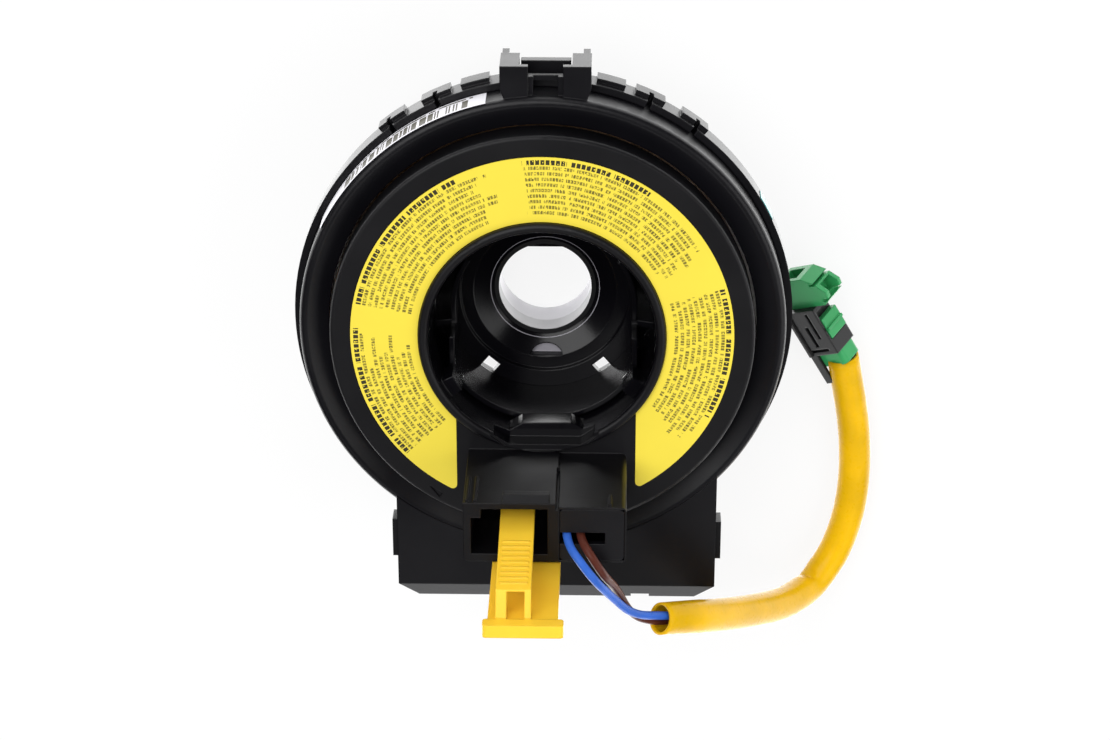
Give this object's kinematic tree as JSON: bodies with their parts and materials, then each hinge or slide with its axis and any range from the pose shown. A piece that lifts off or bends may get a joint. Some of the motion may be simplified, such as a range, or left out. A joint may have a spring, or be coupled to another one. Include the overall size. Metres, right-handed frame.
{
  "type": "steering clock spring",
  "caption": "Steering clock spring: a turning disc with a hub, socket tower and inflator lead in a fixed round case, held by a pull-out lock pin.",
  "frame": {"origin": "on the turning axis at the hub's rear end, which is the face the part rests on", "axes": "+Z along the turning axis towards the steering wheel, +Y towards the two snap hooks, away from the terminal box, +X to the right seen from the front"},
  "size_m": [0.134, 0.1458, 0.0986],
  "materials": {
    "black_plastic": "satin",
    "gloss_black": "gloss",
    "grey_plastic": "matt",
    "tinned_metal": "bright",
    "clear_film": "gloss",
    "slip_film": "satin",
    "white_label": "satin",
    "teal_paint": "satin",
    "yellow_label": "satin",
    "blue_wire": "satin",
    "brown_wire": "satin",
    "yellow_sleeve": "satin",
    "yellow_plastic": "satin",
    "green_plastic": "satin"
  },
  "bodies": {
    "case": {"stator_housing": "black_plastic", "rear_cover": "black_plastic", "main_header": "grey_plastic", "main_header_pins": "tinned_metal", "inflator_header": "grey_plastic", "inflator_header_pins": "tinned_metal", "case_lead_block": "grey_plastic", "flat_cable": "clear_film", "lower_film": "slip_film", "side_label": "white_label", "paint_mark": "teal_paint"},
    "disc": {"rotor_case": "gloss_black", "hub_core": "gloss_black", "hub_cup": "gloss_black", "column_bush": "grey_plastic", "cancel_cam": "grey_plastic", "upper_film": "slip_film", "warning_label": "yellow_label", "lead_cover": "black_plastic", "socket_pins": "tinned_metal", "rotor_lead_block": "grey_plastic", "blue_wire": "blue_wire", "brown_wire": "brown_wire", "wire_sleeve": "yellow_sleeve", "plug_cap": "green_plastic", "plug_body": "black_plastic", "plug_nose": "green_plastic", "plug_terminals": "tinned_metal"},
    "lock_pin": {"lock_pin": "yellow_plastic"},
    "plug_lock": {"plug_lock": "green_plastic"}
  },
  "joints": [
    {"name": "disc_turn", "type": "hinge", "parent": "case", "child": "disc", "pos_m": [0, 0, 0], "axis": [0, 0, 1], "range_deg": [-720, 720]},
    {"name": "lock_pin_pull", "type": "slide", "parent": "disc", "child": "lock_pin", "axis": [0, 0, 1], "range_m": [0, 0.025]},
    {"name": "plug_lock_slide", "type": "slide", "parent": "disc", "child": "plug_lock", "axis": [-0.515, 0.8572, 0], "range_m": [0, 0.002]}
  ]
}
